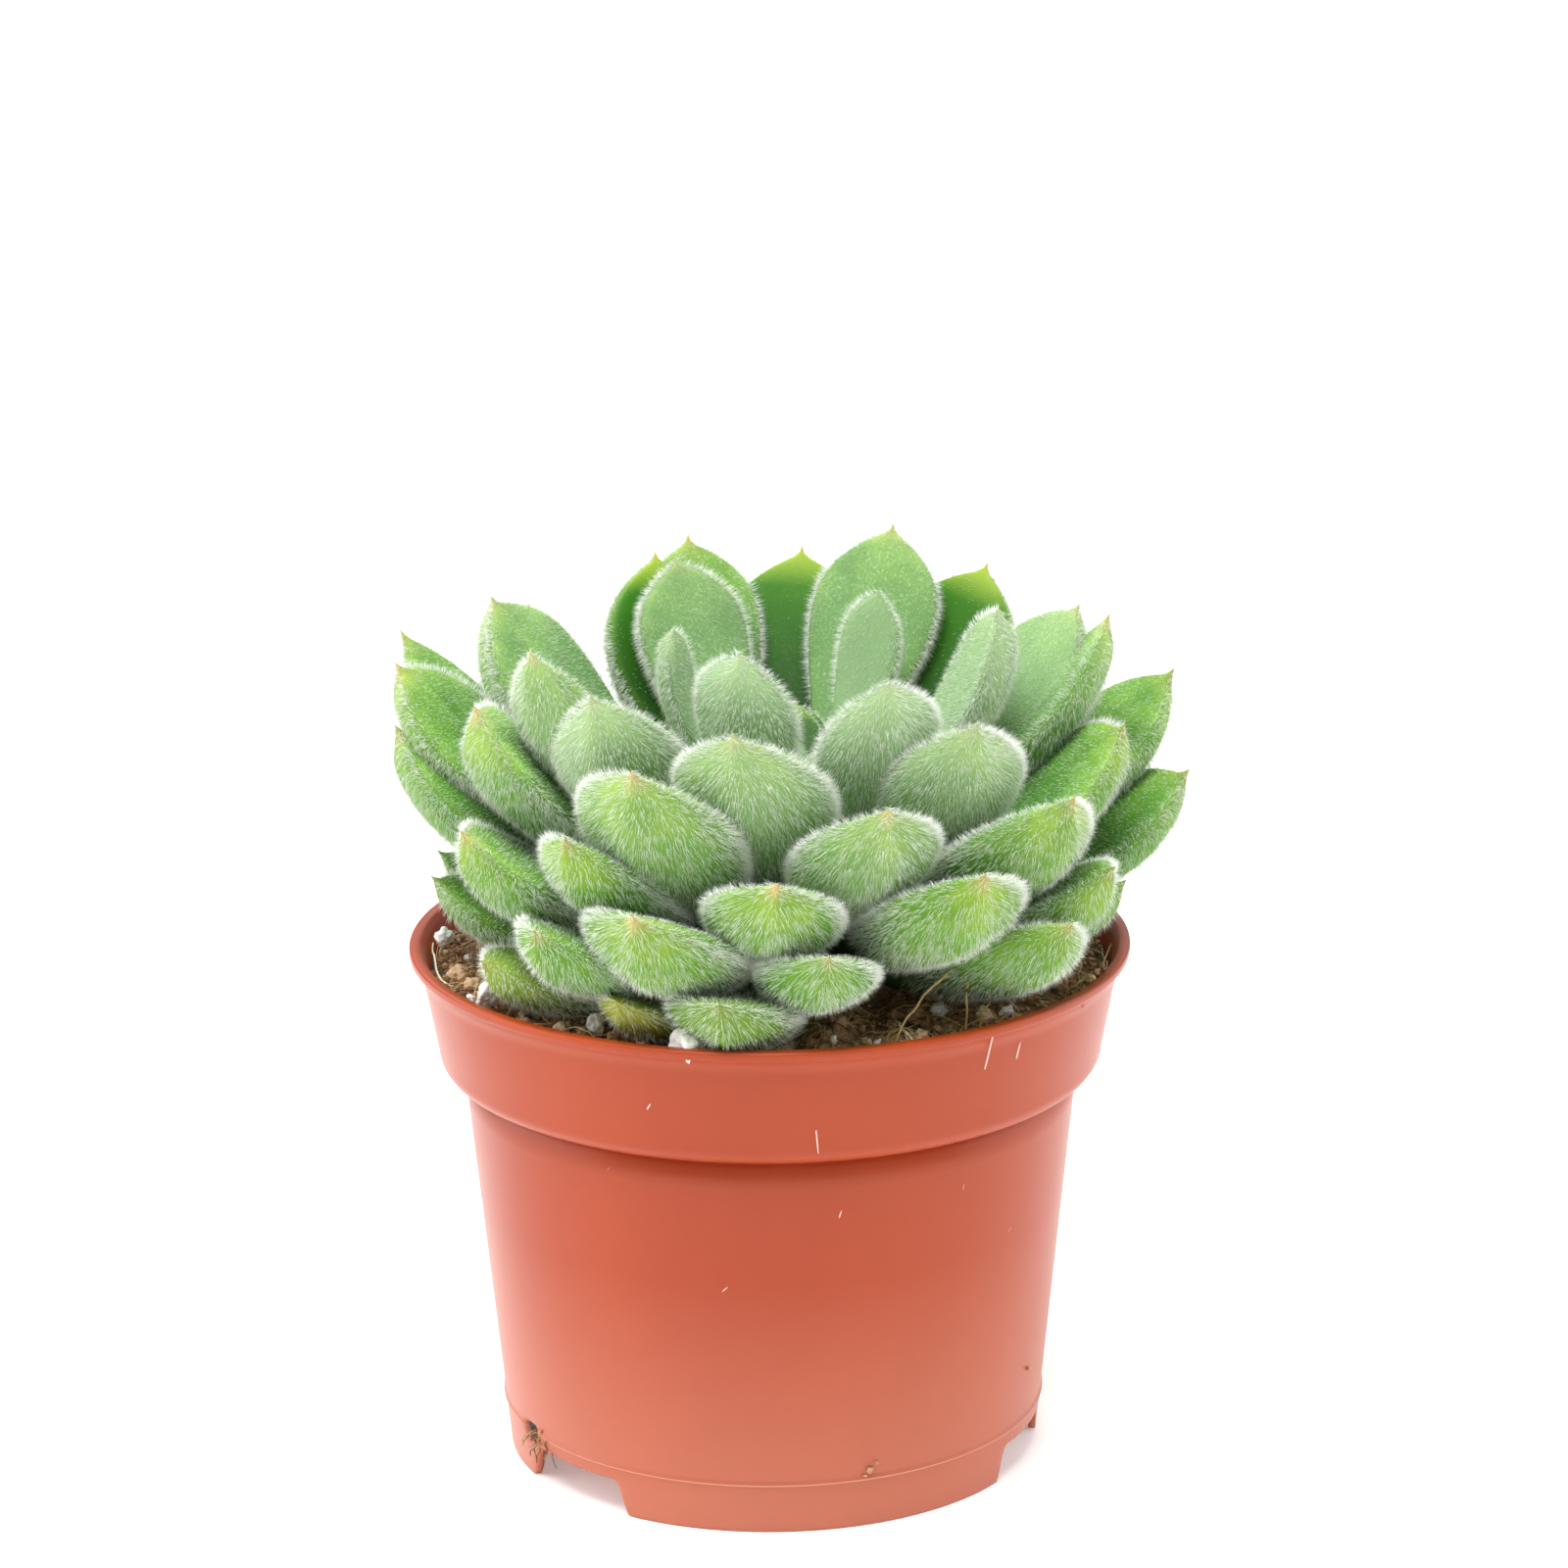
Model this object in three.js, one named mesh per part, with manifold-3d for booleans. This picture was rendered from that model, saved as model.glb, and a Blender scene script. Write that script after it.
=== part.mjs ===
// A hairy rosette succulent in a tapered nursery pot. Millimetres, +Z up, the front faces -Y.
// The origin is under the foot, at the middle of the bounding box of pot and leaves together.

import * as THREE from 'three';
import { mergeVertices } from 'three/addons/utils/BufferGeometryUtils.js';
import Module from 'manifold-3d';

const wasm = await Module();
wasm.setup();

const gap = 0.3; // clearance between pieces that touch
const weldTolerance = 1e-4;

// Pot: thin moulded wall, wide collar under a small lip, foot ring cut by three notches.
const pot = {
  height: 88,
  wall: 1.2,
  lipRadius: 60,
  lipWidth: 1.9,
  lipHeight: 1.6,
  lipEdge: 0.5,
  collarTopRadius: 58.4,
  collarRadius: 55.4,
  collarBottom: 67,
  shoulder: 3.4,
  bodyRadius: 51.2,
  footRadius: 44.6,
  footHeight: 6.2,
  floorThickness: 1.4,
  segments: 40,
};

// Notches in the foot ring, wider at the ground than at the floor, and one drain slot beside the first.
const notches = {
  turns: [-48, 72, 192],
  topWidth: 19,
  bottomWidth: 24,
  slotTurn: -15,
  slotRadius: 2.4,
  slotSides: 12,
};
const drains = { count: 4, ring: 22, radius: 4, sides: 16 };

const soil = { edgeHeight: 83, midRadius: 36, midHeight: 84, centreHeight: 84.6 };

// Rosette: leaves on a short stem that leans forward and a little to the right.
const crown = { x: 2, z: 84, forwardLean: 11, sideLean: 2.5 };
const stemProfile = [[0, -26], [1.6, -24], [3.6, -8], [5.4, 0], [5.4, 18], [4.6, 25], [2.4, 30], [0, 31]];
const stemSides = 12;

// Leaves are counted along the spiral from the oldest, 0, to the youngest. Each one stands a
// golden angle further round, and its age along the spiral gives its size and how far it lifts.
const spiral = { first: 282, step: 137.5, last: 64 };
const leafFoot = { radius: 6.6, point: 0.8, lowest: 4, highest: 28 };
const chordByAge = [[0, 51], [0.2, 58], [0.4, 61], [0.6, 59], [0.72, 54], [0.84, 47], [0.92, 38], [1, 24]];
const liftByAge = [[0, 8], [0.2, 20], [0.4, 31], [0.6, 43], [0.75, 53], [0.88, 64], [1, 80]];
const widthByAge = [[0, 19], [0.2, 23], [0.4, 26.5], [0.6, 28], [0.7, 26], [0.83, 20.5], [0.9, 17], [1, 7]];

// One row for each leaf: its count along the spiral, then how it departs from the law: turn and
// lift in degrees, length and width as factors, roll in degrees (positive raises the right-hand
// margin, seen from the tip) and sweep, the sideways bow of its midrib in mm.
const leafNotes = [
  [0, -8, 5, 1.05, 1.05, 0, 0],
  [2, 0, 0, 1, 1, 0, 0],
  [3, -3, 5, 1, 0.95, 0, 0],
  [4, 0, 0, 1, 1, 0, 0],
  [5, 7, -7, 1, 0.9, 0, 0],
  [7, 0, 0, 1, 1, 0, 0],
  [8, 4, -4, 1, 0.95, 0, 0],
  [9, -3, 2, 0.95, 1, 0, 0],
  [10, 0, 0, 1, 1, 0, 0],
  [11, -5, -1, 1, 1, 0, 0],
  [12, 0, 0, 1, 1, 0, 0],
  [13, -4, 7, 1.14, 1.15, 0, 0],
  [14, 1, 1, 1, 1.1, -25, 0],
  [15, 0, 0, 0.95, 1, 0, 0],
  [16, -3, -3, 1, 1, 0, 0],
  [17, -3, -2, 1.1, 1.05, 0, 0],
  [18, 6, 1, 1.26, 0.8, 12, 0],
  [19, -9, -2, 1, 0.83, 0, 0],
  [20, 0, 0, 0.95, 1, 0, 0],
  [21, 7, -2, 0.97, 1, 0, 0],
  [22, -8, -4, 0.98, 0.9, 0, 0],
  [23, 0, 0, 0.85, 0.95, 0, 0],
  [24, -6, -5, 1, 1.05, 0, 0.5],
  [25, -10, -3, 1.14, 0.9, 0, 0],
  [26, 3, -2, 1.13, 1, 0, 0],
  [27, -4, -2, 1, 1, -8, 0],
  [28, 6, 3, 1, 1, 0, 0],
  [29, 11, -3, 0.97, 0.85, 0, 0],
  [30, -3, 0, 0.97, 0.9, 10, 0],
  [31, -17, 5, 0.96, 1.1, 0, 0],
  [32, -5, -7, 1, 0.86, 0, 0],
  [33, 1, 3, 1, 0.95, 0, 0],
  [34, 6, -2, 0.97, 1, 0, 0],
  [35, -2, -6, 1, 1, -15, 0],
  [36, 8, -1, 0.99, 0.88, 0, 1.5],
  [37, 0, 0, 1, 1.07, 0, 1],
  [38, -3, -1, 1.06, 0.85, 0, 0],
  [39, 6, -4, 1.03, 1, 0, 0],
  [40, -6, -6, 1, 0.9, 0, -0.5],
  [41, -1, 1, 1, 0.85, 0, 0],
  [42, -7, 2, 1.04, 0.82, 22, 0],
  [44, -3, -2, 0.9, 0.8, 0, 0],
  [45, -4, 0, 1, 1.03, 6, 3.5],
  [46, -15, -11, 1.07, 1, 0, 0],
  [48, 1, -5, 1, 1.12, -12, 2],
  [49, 0, 0, 0.4, 0.6, 0, 0],
  [50, -9, -8, 1.03, 1.08, 32, 0],
  [51, 0, 1, 1, 0.95, 0, 0],
  [52, 0, 0, 0.5, 0.6, 0, 0],
  [53, 17, 0, 1.05, 1.05, 0, 1],
  [54, 0, 0, 0.85, 0.65, 0, 0],
  [56, -12, 8, 0.65, 0.5, 0, 0],
  [57, 0, 0, 0.5, 0.6, 0, 0],
  [58, -5, 5, 1.05, 1.2, 0, 1.5],
  [59, 0, 0, 0.5, 0.6, 0, 0],
  [60, 3, -5, 1, 0.95, 0, 0],
  [62, 0, 0, 0.5, 0.7, 0, 0],
];

// Blade outline and section, as shares of the leaf's width and thickness.
const blade = {
  stations: [0, 0.2, 0.38, 0.54, 0.66, 0.76, 0.86, 0.94],
  sides: 8,
  curl: 17,
  twistEnd: 0.4,
  thickness: 0.38,
  widest: 0.74,
  neck: 0.26,
  thickest: 0.6,
  thinBase: 0.36,
  thinTip: 0.14,
  upperShare: 0.26,
  cup: 0.05,
  swellPower: 1.5,
  shoulderPower: 1.3,
  endPower: 1.15,
  flatness: 1.6,
  fullness: 0.85,
};

const plastic = new THREE.MeshStandardMaterial({ color: 0xc5603f, roughness: 0.38, metalness: 0 });
const peat = new THREE.MeshStandardMaterial({ color: 0x4a3324, roughness: 0.95, metalness: 0 });
const stalk = new THREE.MeshStandardMaterial({ color: 0x8a8a55, roughness: 0.8, metalness: 0 });
const leafSkin = new THREE.MeshStandardMaterial({ color: 0x7db86a, roughness: 0.6, metalness: 0 });

// Value at x on straight lines between [place, value] knots.
function along(knots, x) {
  const next = Math.max(1, knots.findIndex(([place]) => place >= x));
  const [fromPlace, fromValue] = knots[next - 1];
  const [toPlace, toValue] = knots[next];
  return THREE.MathUtils.mapLinear(x, fromPlace, toPlace, fromValue, toValue);
}

// A closed geometry as a solid, after its position and turn are applied.
function toSolid(geometry, matrix = new THREE.Matrix4()) {
  const bare = geometry.clone().applyMatrix4(matrix);
  bare.deleteAttribute('normal');
  bare.deleteAttribute('uv');
  const welded = mergeVertices(bare, weldTolerance);
  return new wasm.Manifold(new wasm.Mesh({
    numProp: 3,
    vertProperties: Float32Array.from(welded.attributes.position.array),
    triVerts: Uint32Array.from(welded.index.array),
  }));
}

function toGeometry(solid) {
  const mesh = solid.getMesh();
  const geometry = new THREE.BufferGeometry();
  geometry.setAttribute('position', new THREE.BufferAttribute(mesh.vertProperties, 3));
  geometry.setIndex(new THREE.BufferAttribute(mesh.triVerts, 1));
  geometry.computeVertexNormals();
  return geometry;
}

// A turned shape about +Z from [radius, height] points.
function turned(points, segments) {
  const geometry = new THREE.LatheGeometry(points.map(([r, z]) => new THREE.Vector2(r, z)), segments);
  return geometry.rotateX(Math.PI / 2);
}

function namedMesh(name, geometry, material) {
  const mesh = new THREE.Mesh(geometry, material.clone());
  mesh.name = name;
  return mesh;
}

// Pot -----------------------------------------------------------------------------------------

const floorTop = pot.footHeight + pot.floorThickness;

function bodyRadiusAt(z) {
  return THREE.MathUtils.mapLinear(z, 0, pot.collarBottom, pot.footRadius, pot.bodyRadius);
}

// Rounded step between body and collar, at a depth inside the outer face.
function shoulderArc(depth) {
  const middleRadius = pot.collarRadius - pot.shoulder;
  const middleHeight = pot.collarBottom + pot.shoulder;
  const radius = pot.shoulder - depth;
  return [0, 30, 60, 90].map((degrees) => {
    const angle = THREE.MathUtils.degToRad(degrees);
    return [middleRadius + radius * Math.sin(angle), middleHeight - radius * Math.cos(angle)];
  });
}

// Inner face from the floor to the collar's top, set inwards by a clearance.
function innerWall(clearance) {
  const depth = pot.wall + clearance;
  return [
    [bodyRadiusAt(floorTop) - depth, floorTop + clearance],
    [pot.bodyRadius - depth, pot.collarBottom + pot.wall],
    ...shoulderArc(depth).slice(1),
    [pot.collarTopRadius - depth, pot.height - pot.lipHeight],
  ];
}

function potGeometry() {
  const lipBottom = pot.height - pot.lipHeight;
  const lip = [
    [pot.collarTopRadius, lipBottom],
    [pot.lipRadius - pot.lipEdge, lipBottom],
    [pot.lipRadius, lipBottom + pot.lipEdge],
    [pot.lipRadius, pot.height - pot.lipEdge],
    [pot.lipRadius - pot.lipEdge, pot.height],
    [pot.lipRadius - pot.lipWidth, pot.height],
  ];
  const profile = [
    [0, pot.footHeight],
    [bodyRadiusAt(pot.footHeight) - pot.wall, pot.footHeight],
    [pot.footRadius - pot.wall, 0],
    [pot.footRadius, 0],
    [pot.bodyRadius, pot.collarBottom],
    ...shoulderArc(0),
    ...lip,
    ...innerWall(0).reverse(),
    [0, floorTop],
  ];
  let solid = toSolid(turned(profile, pot.segments));
  for (const turn of notches.turns) {
    solid = solid.subtract(notchCutter(turn));
  }
  solid = solid.subtract(slotCutter(notches.turns[0] + notches.slotTurn));
  for (let i = 0; i < drains.count; i += 1) {
    solid = solid.subtract(drainCutter((i + 0.5) * (360 / drains.count)));
  }
  return toGeometry(solid);
}

function cutAway(solid, cutters) {
  return cutters.reduce((rest, cutter) => rest.subtract(cutter), solid);
}

// Matrix that turns a shape built towards -Y by an angle in degrees about +Z.
function facing(turn) {
  return new THREE.Matrix4().makeRotationZ(THREE.MathUtils.degToRad(turn));
}

function notchCutter(turn) {
  const below = 1;
  const reach = 8;
  const outline = new THREE.Shape([
    new THREE.Vector2(-notches.bottomWidth / 2, -below),
    new THREE.Vector2(notches.bottomWidth / 2, -below),
    new THREE.Vector2(notches.topWidth / 2, pot.footHeight),
    new THREE.Vector2(-notches.topWidth / 2, pot.footHeight),
  ]);
  const cutter = new THREE.ExtrudeGeometry(outline, { depth: 2 * reach, bevelEnabled: false });
  cutter.rotateX(Math.PI / 2).translate(0, -(pot.footRadius - reach), 0);
  return toSolid(cutter, facing(turn));
}

function slotCutter(turn) {
  const length = 10;
  const { slotRadius, slotSides } = notches;
  const cutter = new THREE.CylinderGeometry(slotRadius, slotRadius, length, slotSides);
  cutter.translate(0, -pot.footRadius, floorTop);
  return toSolid(cutter, facing(turn));
}

function drainCutter(turn) {
  const length = 4 * pot.floorThickness;
  const cutter = new THREE.CylinderGeometry(drains.radius, drains.radius, length, drains.sides);
  cutter.rotateX(Math.PI / 2).translate(0, -drains.ring, floorTop);
  return toSolid(cutter, facing(turn));
}

// Stem and soil ---------------------------------------------------------------------------------

const lean = new THREE.Euler(
  THREE.MathUtils.degToRad(crown.forwardLean),
  THREE.MathUtils.degToRad(crown.sideLean),
  0,
);
const crownPlace = new THREE.Vector3(crown.x, 0, crown.z);
const crownMatrix = new THREE.Matrix4().makeRotationFromEuler(lean).setPosition(crownPlace);

function stemGeometry(swell = 0) {
  const points = stemProfile.map(([r, z], i) => {
    const end = i === 0 ? -1 : Number(i === stemProfile.length - 1);
    return [r === 0 ? 0 : r + swell, z + end * swell];
  });
  return turned(points, stemSides);
}

function soilGeometry() {
  const wall = innerWall(gap);
  const collarFoot = wall[wall.length - 2];
  const collarHead = wall[wall.length - 1];
  const edgeRadius = THREE.MathUtils.mapLinear(
    soil.edgeHeight, collarFoot[1], collarHead[1], collarFoot[0], collarHead[0],
  );
  const profile = [
    [0, floorTop + gap],
    ...wall.slice(0, -1),
    [edgeRadius, soil.edgeHeight],
    [soil.midRadius, soil.midHeight],
    [0, soil.centreHeight],
  ];
  const cutters = [toSolid(stemGeometry(gap), crownMatrix)];
  for (const leaf of leaves) {
    cutters.push(toSolid(leafGeometry(leaf, gap), crownMatrix.clone().multiply(leafMatrix(leaf))));
  }
  const block = toSolid(turned(profile, pot.segments));
  return toGeometry(cutAway(block, cutters));
}

// Leaves ----------------------------------------------------------------------------------------

// Half width along the leaf, as a share of the greatest: a narrow neck, a slow swell, a blunt end.
function outlineShare(s) {
  if (s < blade.widest) {
    const rise = (s / blade.widest) ** blade.swellPower;
    return blade.neck + (1 - blade.neck) * (0.5 - 0.5 * Math.cos(Math.PI * rise));
  }
  const fall = ((s - blade.widest) / (1 - blade.widest)) ** blade.shoulderPower;
  return Math.cos((Math.PI / 2) * fall) ** blade.endPower;
}

// Thickness along the leaf, as a share of the greatest.
function thickShare(s) {
  const end = s < blade.thickest ? blade.thinBase : blade.thinTip;
  const span = s < blade.thickest ? blade.thickest : 1 - blade.thickest;
  const away = Math.abs(s - blade.thickest) / span;
  return end + (1 - end) * Math.cos((Math.PI / 2) * away ** blade.flatness);
}

// A leaf that points to -Y from its foot on the stem. Its midrib is a quadratic curve that bends
// up by the curl on each side of the chord. Its upper face is nearly flat, its back is full.
function leafGeometry(leaf, swell = 0) {
  const lift = THREE.MathUtils.degToRad(leaf.lift);
  const chord = new THREE.Vector2(Math.cos(lift), Math.sin(lift)).multiplyScalar(leaf.length + swell);
  const start = new THREE.Vector2(leafFoot.radius, 0);
  const end = start.clone().add(chord);
  const bow = 0.5 * Math.tan(THREE.MathUtils.degToRad(blade.curl));
  const bend = new THREE.Vector2(chord.y, -chord.x).multiplyScalar(bow);
  const control = start.clone().addScaledVector(chord, 0.5).add(bend);
  const midrib = new THREE.QuadraticBezierCurve(start, control, end);
  const origin = new THREE.Vector2();
  const positions = [];
  for (const s of blade.stations) {
    const centre = midrib.getPoint(s);
    const tangent = midrib.getTangent(s);
    const halfWidth = (leaf.width / 2) * outlineShare(s) + swell;
    const bowed = leaf.sweep * 4 * s * (1 - s);
    const roll = THREE.MathUtils.degToRad(leaf.roll) * Math.min(1, s / blade.twistEnd);
    const thickness = leaf.width * blade.thickness * thickShare(s);
    for (let i = 0; i < blade.sides; i += 1) {
      const angle = (i / blade.sides) * 2 * Math.PI;
      const across = Math.cos(angle);
      const share = Math.sin(angle) > 0 ? blade.upperShare : 1 - blade.upperShare;
      const bulge = Math.sign(Math.sin(angle)) * Math.abs(Math.sin(angle)) ** blade.fullness;
      const section = new THREE.Vector2(
        across * halfWidth,
        bulge * (share * thickness + swell) + blade.cup * halfWidth * across ** 2,
      ).rotateAround(origin, roll);
      positions.push(
        section.x + bowed,
        -(centre.x - tangent.y * section.y),
        centre.y + tangent.x * section.y,
      );
    }
  }
  const rings = blade.stations.length;
  const foot = start.clone().addScaledVector(midrib.getTangent(0), -leafFoot.point - swell);
  positions.push(0, -foot.x, foot.y);
  positions.push(0, -end.x, end.y);
  return ringSurface(positions, rings, blade.sides);
}

// Triangles over a stack of rings, closed by a fan at each end, with faces pointing outwards.
function ringSurface(positions, rings, sides) {
  const first = rings * sides;
  const last = first + 1;
  const index = [];
  for (let ring = 0; ring < rings; ring += 1) {
    for (let i = 0; i < sides; i += 1) {
      const here = ring * sides + i;
      const beside = ring * sides + (i + 1) % sides;
      if (ring === 0) {
        index.push(first, beside, here);
      }
      if (ring === rings - 1) {
        index.push(last, here, beside);
      } else {
        index.push(here, beside, here + sides);
        index.push(beside, beside + sides, here + sides);
      }
    }
  }
  const geometry = new THREE.BufferGeometry();
  geometry.setAttribute('position', new THREE.Float32BufferAttribute(positions, 3));
  geometry.setIndex(index);
  return geometry;
}

function leafFromNote([count, turn, lift, length, width, roll, sweep]) {
  const age = count / spiral.last;
  return {
    turn: spiral.first + spiral.step * count + turn,
    height: THREE.MathUtils.lerp(leafFoot.lowest, leafFoot.highest, age),
    lift: along(liftByAge, age) + lift,
    length: along(chordByAge, age) * length,
    width: along(widthByAge, age) * width,
    roll,
    sweep,
  };
}

function leafMatrix(leaf) {
  return facing(leaf.turn).setPosition(0, 0, leaf.height);
}

// An older leaf is dented where a younger one or the stem presses on it. Where that cuts a sliver
// off, only the leaf itself is kept.
function dentedLeaf(leaf, pressing) {
  const matrix = leafMatrix(leaf);
  const cut = cutAway(toSolid(leafGeometry(leaf), matrix), pressing);
  const [whole] = cut.decompose().sort((a, b) => b.volume() - a.volume());
  return toGeometry(whole).applyMatrix4(matrix.clone().invert());
}

function rosette() {
  const group = new THREE.Group();
  group.setRotationFromEuler(lean);
  group.position.copy(crownPlace);
  group.add(namedMesh('stem', stemGeometry(), stalk));
  const swollen = leaves.map((leaf) => toSolid(leafGeometry(leaf, gap), leafMatrix(leaf)));
  const stemCutter = toSolid(stemGeometry(gap));
  leaves.forEach((leaf, i) => {
    const geometry = dentedLeaf(leaf, [stemCutter, ...swollen.slice(i + 1)]);
    const mesh = namedMesh(`leaf_${String(i + 1).padStart(2, '0')}`, geometry, leafSkin);
    mesh.rotation.z = THREE.MathUtils.degToRad(leaf.turn);
    mesh.position.z = leaf.height;
    group.add(mesh);
  });
  return group;
}

const leaves = leafNotes.map(leafFromNote);

const group = new THREE.Group();
group.add(namedMesh('pot', potGeometry(), plastic));
group.add(namedMesh('soil', soilGeometry(), peat));
group.add(rosette());

const middle = new THREE.Box3().setFromObject(group, true).getCenter(new THREE.Vector3());
group.position.set(-middle.x, -middle.y, 0);

export default group;
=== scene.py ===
# Looks for the potted succulent: hairy rosette leaves, potting soil with fibre and perlite, and a
# moulded nursery pot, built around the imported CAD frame. Lengths in dictionaries are millimetres.
import bmesh
import bpy
import math
import numpy as np
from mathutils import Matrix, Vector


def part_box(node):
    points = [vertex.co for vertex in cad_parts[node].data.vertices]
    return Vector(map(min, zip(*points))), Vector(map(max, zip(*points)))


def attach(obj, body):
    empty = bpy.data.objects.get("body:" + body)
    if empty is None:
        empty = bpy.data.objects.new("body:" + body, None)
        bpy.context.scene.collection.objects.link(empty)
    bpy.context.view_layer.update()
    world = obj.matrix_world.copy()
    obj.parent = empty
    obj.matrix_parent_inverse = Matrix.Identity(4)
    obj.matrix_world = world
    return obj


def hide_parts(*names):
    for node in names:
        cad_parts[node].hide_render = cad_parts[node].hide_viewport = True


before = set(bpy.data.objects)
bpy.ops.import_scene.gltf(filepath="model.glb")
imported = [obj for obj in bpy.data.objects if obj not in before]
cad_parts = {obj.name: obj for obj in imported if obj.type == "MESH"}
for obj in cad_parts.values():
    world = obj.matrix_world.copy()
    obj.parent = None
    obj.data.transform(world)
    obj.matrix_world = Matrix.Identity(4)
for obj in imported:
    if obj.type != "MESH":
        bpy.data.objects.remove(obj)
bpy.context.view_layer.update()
mm = 0.001
print("frame loaded,", len(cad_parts), "nodes")


def linearColour(hexText):  # sRGB hex to linear RGBA
    parts = np.array([int(hexText[i:i + 2], 16) for i in (1, 3, 5)]) / 255
    return (*np.where(parts <= 0.04045, parts / 12.92, ((parts + 0.055) / 1.055) ** 2.4), 1)


def addNode(tree, kind, settings=None, **sockets):  # socket names are given without their spaces
    node = tree.nodes.new(kind)
    for name, value in (settings or {}).items():
        setattr(node, name, value)
    for name, value in sockets.items():
        match = [s for s in node.inputs if s.name.replace(" ", "") == name.split("_")[0] and s.enabled]
        socket = match[int(name.split("_")[1]) if "_" in name else 0]
        if isinstance(value, bpy.types.NodeSocket):
            tree.links.new(value, socket)
        else:
            socket.default_value = value
    return node


def newMaterial(name):  # a material with an empty node tree
    material = bpy.data.materials.new(name)
    material.use_nodes = True
    material.node_tree.nodes.clear()
    return material, material.node_tree


def finishMaterial(tree, **sockets):  # one Principled shader into the output
    shader = addNode(tree, "ShaderNodeBsdfPrincipled", **sockets)
    output = addNode(tree, "ShaderNodeOutputMaterial")
    tree.links.new(shader.outputs[0], output.inputs["Surface"])


def rampNode(tree, factor, stops, interpolation="LINEAR"):  # colour ramp from [place, hex] stops
    node = addNode(tree, "ShaderNodeValToRGB", Fac=factor)
    node.color_ramp.interpolation = interpolation
    elements = node.color_ramp.elements
    while len(elements) < len(stops):
        elements.new(0.5)
    for element, (place, hexText) in zip(elements, stops):
        element.position = place
        element.color = linearColour(hexText)
    return node.outputs["Color"]


def makePiece(name, points, faceSets, materials, attributes=None, materialIndex=None):
    # mesh object from arrays: points (n, 3) in metres, faceSets a list of (m, 3) or (m, 4) corner arrays
    mesh = bpy.data.meshes.new(name)
    mesh.vertices.add(len(points))
    mesh.vertices.foreach_set("co", np.asarray(points, np.float32).ravel())
    corners = np.concatenate([f.ravel() for f in faceSets]).astype(np.int32)
    sizes = np.concatenate([np.full(len(f), f.shape[1]) for f in faceSets])
    mesh.loops.add(len(corners))
    mesh.loops.foreach_set("vertex_index", corners)
    mesh.polygons.add(len(sizes))
    mesh.polygons.foreach_set("loop_start", np.concatenate([[0], np.cumsum(sizes)[:-1]]).astype(np.int32))
    mesh.polygons.foreach_set("use_smooth", np.ones(len(sizes), bool))
    for material in materials:
        mesh.materials.append(material)
    if materialIndex is not None:
        mesh.polygons.foreach_set("material_index", materialIndex.astype(np.int32))
    for key, values in (attributes or {}).items():
        layer = mesh.attributes.new(key, "FLOAT", "POINT")
        layer.data.foreach_set("value", np.broadcast_to(values, len(points)).astype(np.float32))
    mesh.update(calc_edges=True)
    piece = bpy.data.objects.new(name, mesh)
    bpy.context.scene.collection.objects.link(piece)
    return piece


def gridFaces(rows, columns, wrap=True):  # quads of a grid whose point (i, j) is number i * columns + j
    i, j = np.meshgrid(np.arange(rows - 1), np.arange(columns if wrap else columns - 1), indexing="ij")
    nextJ = (j + 1) % columns
    corners = [i * columns + j, i * columns + nextJ, (i + 1) * columns + nextJ, (i + 1) * columns + j]
    return np.stack(corners, -1).reshape(-1, 4)


def fanFaces(ring, centre, flip=False):  # triangles from a ring of point numbers to one centre
    fan = np.stack([ring, np.roll(ring, -1), np.full(len(ring), centre)], -1)
    return fan[:, ::-1] if flip else fan


def unit(vectors):
    return vectors / np.maximum(np.linalg.norm(vectors, axis=-1, keepdims=True), 1e-12)


def nodePoints(name):
    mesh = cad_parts[name].data
    points = np.empty(len(mesh.vertices) * 3)
    mesh.vertices.foreach_get("co", points)
    return points.reshape(-1, 3)


def smoothStep(x, low, high):
    t = np.clip((x - low) / (high - low), 0, 1)
    return t * t * (3 - 2 * t)


# The camera and the light come first: they set how every later choice looks.

view = {"elevation": 19.44, "distance": 1000, "aimHeight": 60, "pitch": 2.99, "yaw": 0.15, "roll": -0.47,
        "lens": 136.56, "sensor": 36}

potLow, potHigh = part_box("pot")
potAxis = np.array([(potLow.x + potHigh.x) / 2, (potLow.y + potHigh.y) / 2, 0])


def worldMatrix(right, up, backward, place):  # rows as Blender wants them, from the three axes and the place
    matrix = np.eye(4)
    matrix[:3] = np.stack([right, up, backward, place], -1)
    return matrix.T.tolist()


def makeCamera():
    # looks along +Y and down by the elevation, then turns up by pitch, right by yaw, about its axis by roll
    e = math.radians(view["elevation"])
    outward = np.array([0, -math.cos(e), math.sin(e)])
    place = potAxis + np.array([0, 0, view["aimHeight"] * mm]) + outward * view["distance"] * mm
    forward, right = -outward, np.array([1.0, 0, 0])
    up = np.cross(right, forward)
    for name in ("pitch", "yaw", "roll"):
        c, s = math.cos(math.radians(view[name])), math.sin(math.radians(view[name]))
        if name == "pitch":
            forward, up = forward * c + up * s, up * c - forward * s
        elif name == "yaw":
            forward, right = forward * c + right * s, right * c - forward * s
        else:
            right, up = right * c + up * s, up * c - right * s
    data = bpy.data.cameras.new("camera")
    data.lens = view["lens"]
    data.sensor_width = view["sensor"]
    data.clip_start = 0.05
    camera = bpy.data.objects.new("camera", data)
    camera.matrix_world = worldMatrix(right, up, -forward, place)
    bpy.context.scene.collection.objects.link(camera)
    bpy.context.scene.camera = camera


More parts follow.
